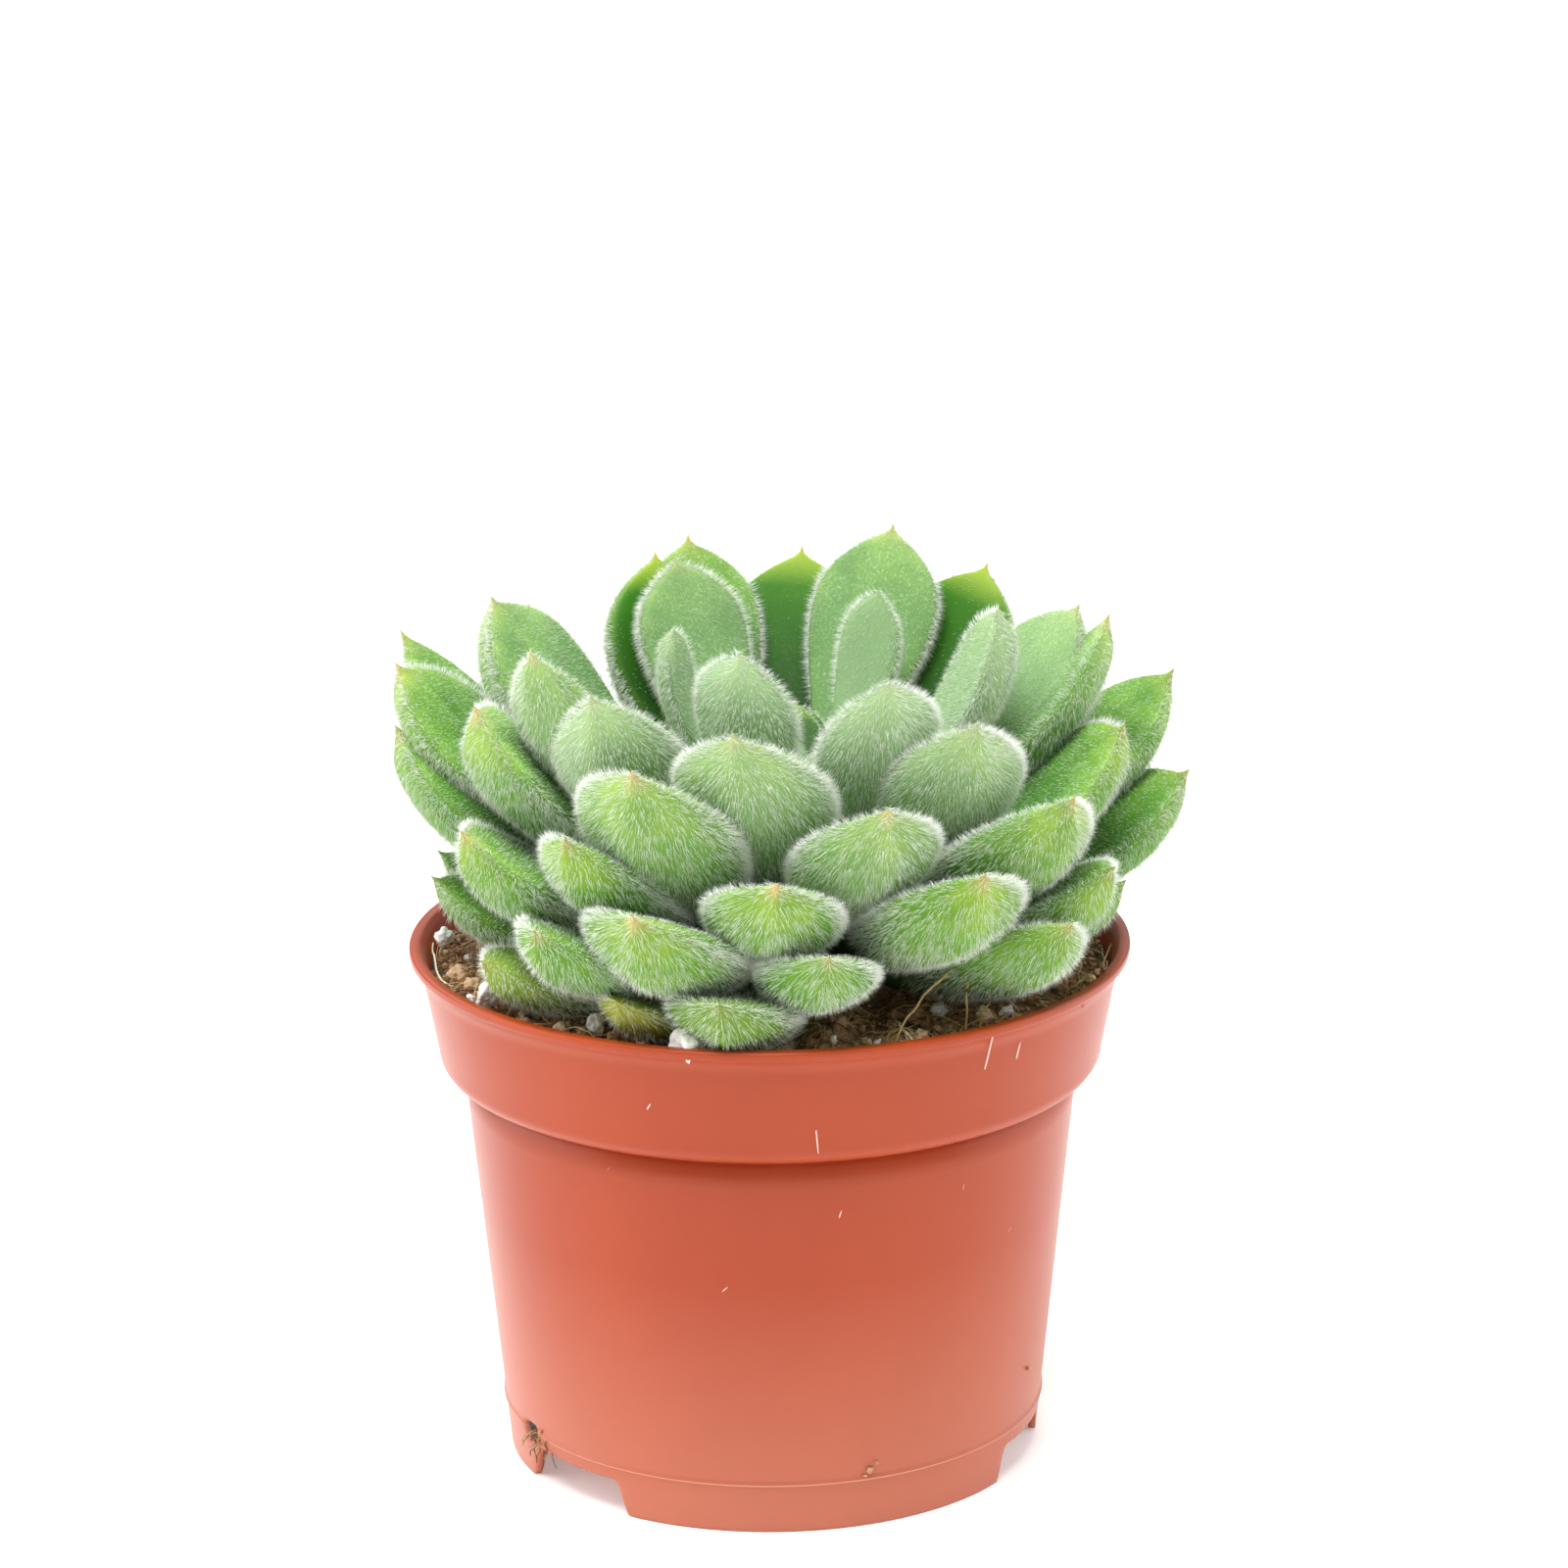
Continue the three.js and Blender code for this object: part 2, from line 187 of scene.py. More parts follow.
def makeLight(name, place, size, power, target):
    data = bpy.data.lights.new(name, "AREA")
    data.shape = "RECTANGLE"
    data.size, data.size_y = size
    data.energy = power
    light = bpy.data.objects.new(name, data)
    bpy.context.scene.collection.objects.link(light)
    backward = unit(np.array(place) - np.array(target))
    right = unit(np.cross([0, 0, 1], backward))
    light.matrix_world = worldMatrix(right, np.cross(backward, right), backward, place)


stage = {"floorSize": 6000, "floorDrop": 0.1, "floorColour": "#FBFAF8", "floorGlow": 0.27,
         "worldStrength": 0.4}
# area lights: place and size in metres, power in watts, and the point each one faces
lights = {"topLight": ((-0.2, -0.5, 1.5), (0.9, 0.9), 26, (0, 0, 0.09)),
          "leftLight": ((-1.25, 0.1, 0.5), (1.3, 1.3), 11, (0, 0, 0.09)),
          "rightLight": ((1.25, 0.3, 0.5), (1.3, 1.3), 8.5, (0, 0, 0.09)),
          "floorWash": ((0, 2.6, 2.2), (3.5, 1.5), 60, (0, 1.6, 0))}


def makeStage():
    half = stage["floorSize"] * mm / 2
    material, tree = newMaterial("mattePaleFloor")
    finishMaterial(tree, BaseColor=linearColour(stage["floorColour"]), Roughness=0.9,
                   EmissionColor=(1, 1, 1, 1), EmissionStrength=stage["floorGlow"])
    corners = np.array([[-half, -half, 0], [half, -half, 0], [half, half, 0], [-half, half, 0]])
    corners[:, 2] -= stage["floorDrop"] * mm
    makePiece("floor", corners, [np.array([[0, 1, 2, 3]])], [material])
    world = bpy.data.worlds.new("softWhiteRoom")
    world.use_nodes = True
    background = world.node_tree.nodes["Background"]
    background.inputs["Color"].default_value = (1, 1, 1, 1)
    background.inputs["Strength"].default_value = stage["worldStrength"]
    bpy.context.scene.world = world
    bpy.context.scene.view_settings.view_transform = "Standard"
    for name, (place, size, power, target) in lights.items():
        makeLight(name, place, size, power, target)


makeCamera()
makeStage()
print("camera and stage done")


# curl in degrees, hairRoom in mm; the rest are shares of the leaf's length (places) or of its width (sizes)
leafShape = {"curl": 21, "thickness": 0.42, "hairRoom": 0.8, "widest": 0.72, "neck": 0.28, "bladeEnd": 0.972,
             "thickest": 0.6, "keel": 0.05, "thinBase": 0.36, "thinTip": 0.16, "upperShare": 0.26,
             "cup": 0.05, "cuspStart": 0.925, "cuspWidth": 0.13, "rows": 38, "sides": 36}

stemPoints = nodePoints("stem")
stemFoot = stemPoints[stemPoints[:, 2].argmin()]
stemTop = stemPoints[stemPoints[:, 2].argmax()]
stemAxis = unit(stemTop - stemFoot)


def measureLeaf(name):
    # the foot is the corner nearest to the stem, the tip is the corner furthest from the foot, and the
    # widest direction of the outer part across the chord gives the blade's side
    points = nodePoints(name)
    fromAxis = points - stemFoot
    fromAxis = fromAxis - np.outer(fromAxis @ stemAxis, stemAxis)
    foot = points[np.linalg.norm(fromAxis, axis=1).argmin()]
    tip = points[np.linalg.norm(points - foot, axis=1).argmax()]
    length = np.linalg.norm(tip - foot)
    chord = (tip - foot) / length
    share = (points - foot) @ chord / length
    outer = points[(share > 0.6) & (share < 0.92)] - foot
    outer = outer - np.outer(outer @ chord, chord)
    spread = outer - outer.mean(0)
    side = np.linalg.svd(spread, full_matrices=False)[2][0]
    up = np.cross(side, chord)
    if up @ stemAxis < 0:
        up = -up
    side = np.cross(chord, up)
    reach = outer @ side
    width = reach.max() - reach.min() - 2 * leafShape["hairRoom"] * mm
    sweep = (reach.max() + reach.min()) / 2 / leafShape["widest"]
    return {"name": name, "foot": foot, "tip": tip, "chord": chord, "side": side, "up": up, "length": length,
            "width": width, "sweep": sweep}


def outlineShare(s):
    # half width: a narrow neck swells by a cosine to the widest place, then a blunt cosine end and a cusp
    p = leafShape
    rise = np.clip(s / p["widest"], 0, 1) ** 1.5
    fall = np.clip((s - p["widest"]) / (p["bladeEnd"] - p["widest"]), 0, 1) ** 1.35
    blade = np.where(s < p["widest"], p["neck"] + (1 - p["neck"]) * (0.5 - 0.5 * np.cos(np.pi * rise)),
                     np.cos(np.pi / 2 * fall) ** 0.8)
    cusp = p["cuspWidth"] * np.clip((1 - s) / (1 - p["cuspStart"]), 0, 1.6) ** 1.1 * (s > p["widest"])
    return (blade ** 3 + cusp ** 3) ** (1 / 3)


def thickShare(s):
    # thickness: a cosine either side of the thickest place, and a round close at the cusp
    p = leafShape
    end = np.where(s < p["thickest"], p["thinBase"], p["thinTip"])
    span = np.where(s < p["thickest"], p["thickest"], 1 - p["thickest"])
    share = end + (1 - end) * np.cos(np.pi / 2 * np.clip(np.abs(s - p["thickest"]) / span, 0, 1) ** 1.6)
    return share * np.sqrt(np.clip(1 - smoothStep(s, 0.9, 1.0), 0, 1))


def leafSurface(leaf, rng):
    # grid (rows, sides, 3): a midrib bowed down from the chord by a parabola carries a section whose back is
    # full and whose upper face is flat, with a soft keel on the back near the tip
    p = leafShape
    s = (1 - (1 - np.linspace(0, 1, p["rows"])[:, None]) ** 1.35) * 0.998
    angle = np.linspace(0, 2 * np.pi, p["sides"], endpoint=False)[None, :]
    bow = 0.5 * math.tan(math.radians(p["curl"])) * leaf["length"]
    sag = -bow * 2 * s * (1 - s)
    slope = -bow * (2 - 4 * s) / leaf["length"]
    wobble = rng.uniform(-1, 1, 6)
    half = leaf["width"] / 2 * outlineShare(s)
    half = half * (1 + 0.025 * np.sin(angle + 5 * s + 3 * wobble[0])
                   + 0.015 * np.sin(2 * angle + 9 * s + 3 * wobble[1]))
    thickness = leaf["width"] * p["thickness"] * thickShare(s)
    share = np.where(np.sin(angle) > 0, p["upperShare"], 1 - p["upperShare"])
    bulge = np.sign(np.sin(angle)) * np.abs(np.sin(angle)) ** 0.85
    across = np.cos(angle) * half
    keel = p["keel"] * leaf["width"] * smoothStep(s, 0.55, 0.9) * (1 - smoothStep(s, 0.93, 1.0))
    keel = keel * np.exp(-(np.cos(angle) / 0.3) ** 2) * (np.sin(angle) < 0)
    height = bulge * share * thickness - keel + p["cup"] * half * np.cos(angle) ** 2
    sweep = leaf["sweep"] * 4 * s * (1 - s) + 0.01 * leaf["length"] * wobble[2] * np.sin(np.pi * s)
    normal = unit(leaf["up"] - slope[..., None] * leaf["chord"])
    points = (leaf["foot"] + leaf["chord"] * leaf["length"] * s[..., None] + leaf["up"] * sag[..., None]
              + leaf["side"] * (across + sweep)[..., None] + normal * height[..., None])
    return points, s, angle


def surfaceNormals(points):  # cross product of the steps along and around the grid
    along = np.gradient(points, axis=0)
    around = np.roll(points, -1, 1) - np.roll(points, 1, 1)
    return unit(np.cross(along, around))


# lengths and radius in mm, lifts in degrees; the bare pairs say where along the leaf the hair starts
hairShape = {"perSquareMm": 4.5, "backLength": 1.65, "upperLength": 0.75, "fringeLength": 1.75,
             "radius": 0.035, "upperDensity": 0.6, "fringeDensity": 4.4, "lift": 46, "fringeLift": 26,
             "upperLift": 10, "liftSpread": 9, "stray": 0.14, "bareBack": (0.32, 0.58),
             "bareUpper": (0.42, 0.68)}


def growHairs(leaf, points, normals, s, angle, rng, materials):
    # roots are spread by area over the leaf's grid cells; each hair is a three-sided spike that leans back
    h = hairShape
    corner = points[:-1]
    alongEdge = points[1:] - corner
    aroundEdge = np.roll(points, -1, 1)[:-1] - corner
    area = np.linalg.norm(np.cross(alongEdge, aroundEdge), axis=-1) / mm ** 2
    upper = smoothStep(np.sin(angle), -0.15, 0.3) * np.ones_like(area)
    fringe = np.exp(-((np.sin(angle) - 0.1) / 0.28) ** 2) * np.ones_like(area)
    density = h["perSquareMm"] * (1 - (1 - h["upperDensity"]) * upper) * (1 + h["fringeDensity"] * fringe)
    density = density * (smoothStep(s[:-1], *h["bareBack"]) * (1 - upper)
                         + smoothStep(s[:-1], *h["bareUpper"]) * upper)
    density = density * leaf["hairiness"] * (1 - 0.85 * leaf["bald"] * upper)
    weight = (area * density).ravel()
    count = int(weight.sum())
    cell = rng.choice(len(weight), count, p=weight / weight.sum())
    i, j = np.unravel_index(cell, area.shape)
    a, b = rng.random((2, count, 1))
    j2 = (j + 1) % points.shape[1]
    root = ((points[i, j] * (1 - a) + points[i + 1, j] * a) * (1 - b)
            + (points[i, j2] * (1 - a) + points[i + 1, j2] * a) * b)
    normal = unit(normals[i, j] + normals[i + 1, j2])
    toTip = unit(leaf["tip"] + leaf["chord"] * 0.002 - root)
    toTip = unit(toTip - normal * np.sum(toTip * normal, -1, keepdims=True))
    edge, top = fringe[i, j][:, None], upper[i, j][:, None]
    lift = h["lift"] + h["fringeLift"] * edge + h["upperLift"] * top
    lift = np.radians(lift + rng.normal(0, h["liftSpread"], (count, 1)))
    direction = normal * np.sin(lift) - toTip * np.cos(lift) * (1 - 0.6 * edge)
    direction = unit(direction + rng.normal(0, h["stray"], (count, 3)))
    length = h["backLength"] * (1 - top) + h["upperLength"] * top
    length = (length * (1 - edge) + h["fringeLength"] * edge) * rng.uniform(0.65, 1.2, (count, 1)) * mm
    length = length * (0.55 + 0.45 * smoothStep(leaf["length"], 0.015, 0.045))
    first = unit(np.cross(direction, rng.normal(0, 1, (count, 3))))
    second = np.cross(direction, first)
    turn = np.radians([0, 120, 240])
    ring = root[:, None] + h["radius"] * mm * (
        first[:, None] * np.cos(turn)[None, :, None] + second[:, None] * np.sin(turn)[None, :, None])
    ring = ring - normal[:, None] * 0.05 * mm
    apex = root + direction * length
    spikes = np.concatenate([ring, apex[:, None]], 1).reshape(-1, 3)
    base = np.arange(count)[:, None, None] * 4
    faces = (base + np.array([[0, 1, 3], [1, 2, 3], [2, 0, 3], [0, 2, 1]])[None]).reshape(-1, 3)
    isFringe = np.repeat(edge[:, 0] > 0.5, 4)
    piece = makePiece(leaf["name"] + "_hairs", spikes, [faces], materials, None, isFringe)
    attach(piece, "root")
    return count


def leafSkinMaterial():
    # fleshy leaf under its hairs: matte, slightly translucent, yellower at the tip, and hazier and darker at the
    # base, where the darkness is painted shade between the crowded leaves
    material, tree = newMaterial("fleshyLeafSkin")
    along = addNode(tree, "ShaderNodeAttribute", {"attribute_name": "along"}).outputs["Fac"]
    face = addNode(tree, "ShaderNodeAttribute", {"attribute_name": "face"}).outputs["Fac"]
    wilt = addNode(tree, "ShaderNodeAttribute", {"attribute_name": "wilt"}).outputs["Fac"]
    bald = addNode(tree, "ShaderNodeAttribute", {"attribute_name": "bald"}).outputs["Fac"]
    young = addNode(tree, "ShaderNodeAttribute", {"attribute_name": "young"}).outputs["Fac"]
    oldLeafPaintedShade = addNode(tree, "ShaderNodeAttribute", {"attribute_name": "oldLeafPaintedShade"}).outputs["Fac"]
    place = addNode(tree, "ShaderNodeTexCoord").outputs["Object"]
    patch = addNode(tree, "ShaderNodeTexNoise", Vector=place, Scale=160.0, Detail=3.0).outputs["Fac"]
    # painted shade: both faces run darker towards the base, where the leaves crowd together
    back = rampNode(tree, along, [(0.0, "#4A6A34"), (0.35, "#66894C"), (0.6, "#6C9646"), (0.85, "#6E9C2E"),
                                  (0.95, "#92B23C"), (0.982, "#CDB274"), (1.0, "#CB9672")])
    upper = rampNode(tree, along, [(0.0, "#3F6E2C"), (0.35, "#52873C"), (0.75, "#62993E"), (0.92, "#84B43C"),
                                   (0.965, "#B4C450"), (0.99, "#D2A46C")])
    margin = addNode(tree, "ShaderNodeMapRange", Value=face, FromMin=0.75, FromMax=0.1, ToMax=0.6).outputs[0]
    upper = addNode(tree, "ShaderNodeMix", {"data_type": "RGBA"}, Factor=margin, A=upper,
                    B=linearColour("#9CC650")).outputs[2]
    speck = addNode(tree, "ShaderNodeTexNoise", Vector=place, Scale=2100.0, Detail=2.0).outputs["Fac"]
    speck = addNode(tree, "ShaderNodeMapRange", Value=speck, FromMin=0.52, FromMax=0.7, ToMax=0.75).outputs[0]
    upper = addNode(tree, "ShaderNodeMix", {"data_type": "RGBA"}, Factor=speck, A=upper,
                    B=linearColour("#C2DCAA")).outputs[2]
    isUpper = addNode(tree, "ShaderNodeMapRange", Value=face, FromMin=-0.2, FromMax=0.3).outputs[0]
    band = addNode(tree, "ShaderNodeTexNoise", Vector=place, Scale=90.0, Detail=2.0, Distortion=0.6).outputs[0]
    band = addNode(tree, "ShaderNodeMapRange", Value=band, FromMin=0.45, FromMax=0.68, ToMax=0.55).outputs[0]
    upper = addNode(tree, "ShaderNodeMix", {"data_type": "RGBA"}, Factor=band, A=upper,
                    B=linearColour("#3C7026")).outputs[2]
    skin = addNode(tree, "ShaderNodeMix", {"data_type": "RGBA"}, Factor=isUpper, A=back, B=upper).outputs[2]
    patch = addNode(tree, "ShaderNodeMapRange", Value=patch, FromMin=0.4, FromMax=0.72, ToMax=0.6).outputs[0]
    skin = addNode(tree, "ShaderNodeMix", {"data_type": "RGBA"}, Factor=patch, A=skin,
                   B=linearColour("#437F1C")).outputs[2]
    skin = addNode(tree, "ShaderNodeMix", {"data_type": "RGBA"}, Factor=wilt, A=skin,
                   B=linearColour("#B9A940")).outputs[2]
    # painted shade: older, lower leaves are mixed towards a darker green by a random amount
    skin = addNode(tree, "ShaderNodeMix", {"data_type": "RGBA"}, Factor=oldLeafPaintedShade, A=skin,
                   B=linearColour("#3C7A1C")).outputs[2]
    skin = addNode(tree, "ShaderNodeMix", {"data_type": "RGBA"}, Factor=young, A=skin,
                   B=linearColour("#9CB98C")).outputs[2]
    # bare upper faces: deep green, with painted shade that makes them near black at the base and lighter towards
    # the tip
    deep = addNode(tree, "ShaderNodeMath", {"operation": "MULTIPLY"}, Value_0=bald, Value_1=isUpper).outputs[0]
    bareFaceWithPaintedShade = rampNode(tree, along, [(0.3, "#143608"), (0.6, "#1F4E08"), (0.88, "#357410"), (0.97, "#9CB83C"),
                                    (1.0, "#C99A5E")])
    skin = addNode(tree, "ShaderNodeMix", {"data_type": "RGBA"}, Factor=deep, A=skin, B=bareFaceWithPaintedShade).outputs[2]
    finishMaterial(tree, BaseColor=skin, Roughness=0.6, SpecularIORLevel=0.22, SubsurfaceWeight=0.18,
                   SubsurfaceRadius=(0.8, 1.0, 0.3), SubsurfaceScale=0.0015)
    return material


def hairMaterials():
    # plant hair: colourless and full of air, so it scatters light; the dense fringe is whiter than the down. The
    # faint emission on both is painted light, a glow that brightens hairs lying in shade
    down, tree = newMaterial("palePlantDown")
    # painted light: a faint glow (emission 0.05) on the down
    finishMaterial(tree, BaseColor=linearColour("#EFF6E6"), Roughness=0.5,
                   EmissionColor=linearColour("#E4EFD8"), EmissionStrength=0.05)
    fringe, tree = newMaterial("whitePlantFringe")
    # painted light: a stronger glow (emission 0.1) on the fringe
    finishMaterial(tree, BaseColor=linearColour("#F8FBF3"), Roughness=0.5,
                   EmissionColor=linearColour("#EDF4E4"), EmissionStrength=0.1)
    return [down, fringe]


def makeLeaf(leaf, rng, skin, hair, tints, node):
    # one closed leaf and its hairs; the tints are even over the leaf, along and face run over its surface
    points, s, angle = leafSurface(leaf, rng)
    rows, sides = points.shape[:2]
    flat = np.concatenate([points.reshape(-1, 3), [points[0].mean(0), points[-1].mean(0)]])
    first = np.arange(sides)
    faces = [gridFaces(rows, sides)[:, ::-1], np.concatenate([
        fanFaces(first, rows * sides), fanFaces(first + (rows - 1) * sides, rows * sides + 1, True)])]
    ones = np.ones_like(points[..., 0])
    values = {"along": np.append((s * ones).ravel(), [0, 1]), "bald": leaf["bald"],
              "face": np.append((np.sin(angle) * ones).ravel(), [0, 0]), **tints}
    piece = makePiece(leaf["name"] + "_skin", flat, faces, [skin], values)
    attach(piece, "root")
    if node:
        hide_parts(node)
    normals = surfaceNormals(points)
    if np.sum(normals * (points - points.mean(1, keepdims=True))) < 0:
        normals = -normals
    return growHairs(leaf, points, normals, s, angle, rng, hair)


# how far a leaf has yellowed, and how bare its upper face is, as shares of 1
wilting = {"leaf_03": 0.85, "leaf_07": 0.45, "leaf_10": 0.3, "leaf_01": 0.1}
balding = {"leaf_30": 1.0, "leaf_27": 0.9, "leaf_32": 0.95, "leaf_22": 0.8, "leaf_46": 0.8, "leaf_57": 0.5}


def makeLeaves():
    # leaves are numbered from the oldest to the youngest, and their age sets the tint and how hairy they are;
    # the darker green of the older, lower leaves is painted shade
    skin, hair = leafSkinMaterial(), hairMaterials()
    total = 0
    leafNames = sorted(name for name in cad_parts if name.startswith("leaf_"))
    for number, name in enumerate(leafNames):
        rng = np.random.default_rng(1000 + number)
        leaf = measureLeaf(name)
        age = number / (len(leafNames) - 1)
        young = float(smoothStep(age, 0.5, 0.95))
        # painted shade on the older, lower leaves, a random share that fades with age
        oldLeafPaintedShade = (1 - float(smoothStep(age, 0.1, 0.55))) * np.random.default_rng(number).uniform(0.2, 0.75)
        wilt = wilting.get(name, 0)
        leaf["bald"], leaf["hairiness"] = balding.get(name, 0), (0.8 + 0.4 * young) * (1 - 0.6 * wilt)
        total += makeLeaf(leaf, rng, skin, hair, {"wilt": wilt, "young": 0.8 * young, "oldLeafPaintedShade": oldLeafPaintedShade}, name)
    print("leaves done,", total, "hairs")
    return skin, hair


leafMaterials = makeLeaves()


# the slot stands beside the first notch, and its dark inside is painted shade; turns are in degrees from the
# front, the witness line is a mould mark (a ridge whose highlight is painted in the pot's material)
potShape = {"wall": 1.2, "lipWidth": 1.9, "lipHeight": 1.6, "lipEdge": 0.5, "collarTopRadius": 58.4,
            "collarRadius": 55.4, "collarBottom": 67, "shoulder": 3.4, "bodyRadius": 51.2, "footRadius": 44.6,
            "footHeight": 6.2, "floorThickness": 1.4, "segments": 288, "creaseDepth": 0.5, "slotTurn": -15,
            "slotHeight": 8.2, "slotRadius": 2.2, "slotDepth": 1.0, "notchTurns": (-48, 72, 192),
            "notchTop": 19, "notchBottom": 24, "witnessHeight": 8.4}


def polypropyleneMaterial():
    # injection-moulded polypropylene: smooth, half gloss, a little waxy, with faint flow marks and scuffs
    material, tree = newMaterial("mouldedPolypropylene")
    place = addNode(tree, "ShaderNodeTexCoord").outputs["Object"]
    drawn = addNode(tree, "ShaderNodeMapping", Vector=place, Scale=(1, 1, 0.35)).outputs[0]
    flow = addNode(tree, "ShaderNodeTexNoise", Vector=drawn, Scale=22.0, Detail=4.0).outputs["Fac"]
    colour = rampNode(tree, flow, [(0.3, "#A03A15"), (0.7, "#AA421A")])
    height = addNode(tree, "ShaderNodeSeparateXYZ", Vector=place).outputs["Z"]
    # painted light: from 45 mm down to the foot the wall is mixed towards a pale pink, standing in for light
    # thrown up from the floor
    paintedFloorBounce = addNode(tree, "ShaderNodeMapRange", Value=height, FromMin=0.045, FromMax=0.0, ToMax=0.36).outputs[0]
    colour = addNode(tree, "ShaderNodeMix", {"data_type": "RGBA"}, Factor=paintedFloorBounce, A=colour,
                     B=linearColour("#D9987F")).outputs[2]
    # painted highlight: a pale band from 8.2 to 8.7 mm, over the witness ridge, stands in for light catching the
    # ridge
    line = addNode(tree, "ShaderNodeMapRange", Value=height, FromMin=0.0082, FromMax=0.0085).outputs[0]
    ridgeHighlightTop = addNode(tree, "ShaderNodeMapRange", Value=height, FromMin=0.0087, FromMax=0.0085).outputs[0]
    line = addNode(tree, "ShaderNodeMath", {"operation": "MULTIPLY"}, Value_0=line, Value_1=ridgeHighlightTop).outputs[0]
    line = addNode(tree, "ShaderNodeMath", {"operation": "MULTIPLY"}, Value_0=line, Value_1=0.5).outputs[0]
    colour = addNode(tree, "ShaderNodeMix", {"data_type": "RGBA"}, Factor=line, A=colour,
                     B=linearColour("#F0C0AC")).outputs[2]
    # painted shade: the slot's shallow dent is coloured near black, standing in for the shade inside an opening
    slot = addNode(tree, "ShaderNodeAttribute", {"attribute_name": "slot"}).outputs["Fac"]
    colour = addNode(tree, "ShaderNodeMix", {"data_type": "RGBA"}, Factor=slot, A=colour,
                     B=linearColour("#2A160E")).outputs[2]
    rough = addNode(tree, "ShaderNodeMapRange", Value=flow, FromMin=0.3, FromMax=0.7, ToMin=0.3, ToMax=0.38)
    finishMaterial(tree, BaseColor=colour, Roughness=rough.outputs[0], SpecularIORLevel=0.34)
    return material


def arcPoints(centre, radius, fromDegrees, toDegrees, count):  # centre plus radius times cosine and sine
    angle = np.radians(np.linspace(fromDegrees, toDegrees, count))
    return np.stack([centre[0] + radius * np.cos(angle), centre[1] + radius * np.sin(angle)], -1)


def bodyLine(z):  # radius of the tapered body in mm at heights z
    p = potShape
    return p["footRadius"] + (p["bodyRadius"] - p["footRadius"]) * z / p["collarBottom"]


def makePot():
    # a profile of straight runs and arcs is turned about the pot's axis; the foot's edge rises in the notches
    p = potShape
    height, lip = (potHigh.z - potLow.z) / mm, (potHigh.x - potLow.x) / 2 / mm
    lipBottom = height - p["lipHeight"]
    floorTop = p["footHeight"] + p["floorThickness"]
    shoulder = (p["collarRadius"] - p["shoulder"], p["collarBottom"] + p["shoulder"])
    footWall = p["footHeight"] * np.linspace(0, 1, 9)[:, None]
    outerFoot = np.concatenate([bodyLine(footWall), footWall], 1)
    innerFoot = outerFoot[::-1] - [p["wall"], 0]
    profile = np.concatenate([
        [[0.01, p["footHeight"]], [20, p["footHeight"]], [40, p["footHeight"]]],
        innerFoot, outerFoot,
        [[bodyLine(z), z] for z in (6.7, 7.2, 7.7, 8.1, p["witnessHeight"])],
        [[bodyLine(z) + 0.3, z] for z in (p["witnessHeight"] + 0.12, 8.8)],
        [[bodyLine(z), z] for z in (9.1, 9.5, 10)],
        np.stack([np.linspace(bodyLine(11), p["bodyRadius"], 14),
                  np.linspace(11, p["collarBottom"] - 1.3, 14)], -1),
        [[p["bodyRadius"] - p["creaseDepth"], p["collarBottom"] - drop] for drop in (1, 0)],
        arcPoints(shoulder, p["shoulder"], -80, 0, 9),
        np.stack([np.linspace(p["collarRadius"], p["collarTopRadius"], 6)[1:],
                  np.linspace(shoulder[1], lipBottom, 6)[1:]], -1),
        arcPoints((lip - p["lipEdge"], lipBottom + p["lipEdge"]), p["lipEdge"], -90, 0, 5),
        arcPoints((lip - p["lipEdge"], height - p["lipEdge"]), p["lipEdge"], 0, 90, 5),
        [[lip - p["lipWidth"] + 0.2, height], [lip - p["lipWidth"], height - 0.2]],
        [[p["collarTopRadius"] - p["wall"], lipBottom]],
        arcPoints(shoulder, p["shoulder"] - p["wall"], 0, -80, 7),
        [[p["bodyRadius"] - p["wall"], p["collarBottom"]], [bodyLine(floorTop) - p["wall"], floorTop + 0.5],
         [bodyLine(floorTop) - p["wall"] - 0.5, floorTop], [30, floorTop], [0.01, floorTop]],
    ])
    angle = np.linspace(0, 2 * np.pi, p["segments"], endpoint=False)
    radius, z = np.repeat(profile[:, :1], len(angle), 1), np.repeat(profile[:, 1:], len(angle), 1)
    offset = np.abs((np.degrees(angle)[:, None] + 90 - np.array(p["notchTurns"]) + 180) % 360 - 180).min(1)
    arc = np.radians(offset) * p["footRadius"]
    rise = p["footHeight"] * (1 - smoothStep(arc, p["notchTop"] / 2 - 0.4, p["notchBottom"] / 2 + 0.4))
    low = z < p["footHeight"] + 1e-6
    z = np.where(low, rise + z * (1 - rise / p["footHeight"]), z)
    slotArc = np.mod(angle + np.radians(90 - p["notchTurns"][0] - p["slotTurn"]) + np.pi, 2 * np.pi) - np.pi
    slotReach = np.hypot(slotArc[None] * p["footRadius"] / 1.25, (z - p["slotHeight"]) * 1.2)
    slot = 1 - smoothStep(slotReach, p["slotRadius"] - 0.7, p["slotRadius"])
    slot = slot * (radius > bodyLine(z) - 0.2)
    radius = radius - p["slotDepth"] * slot
    points = np.stack([radius * np.cos(angle), radius * np.sin(angle), z], -1) * mm + potAxis
    faces = gridFaces(len(profile), len(angle))
    count = len(profile) * len(angle)
    flat = np.concatenate([points.reshape(-1, 3), [points[0].mean(0), points[-1].mean(0)]])
    ring = np.arange(len(angle))
    caps = np.concatenate([fanFaces(ring, count, True), fanFaces(ring + count - len(angle), count + 1)])
    piece = makePiece("nursery_pot", flat, [faces, caps], [polypropyleneMaterial()],
                      {"slot": np.append(slot.ravel(), [0, 0])})
    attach(piece, "root")
    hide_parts("pot")
    print("pot done")


makePot()


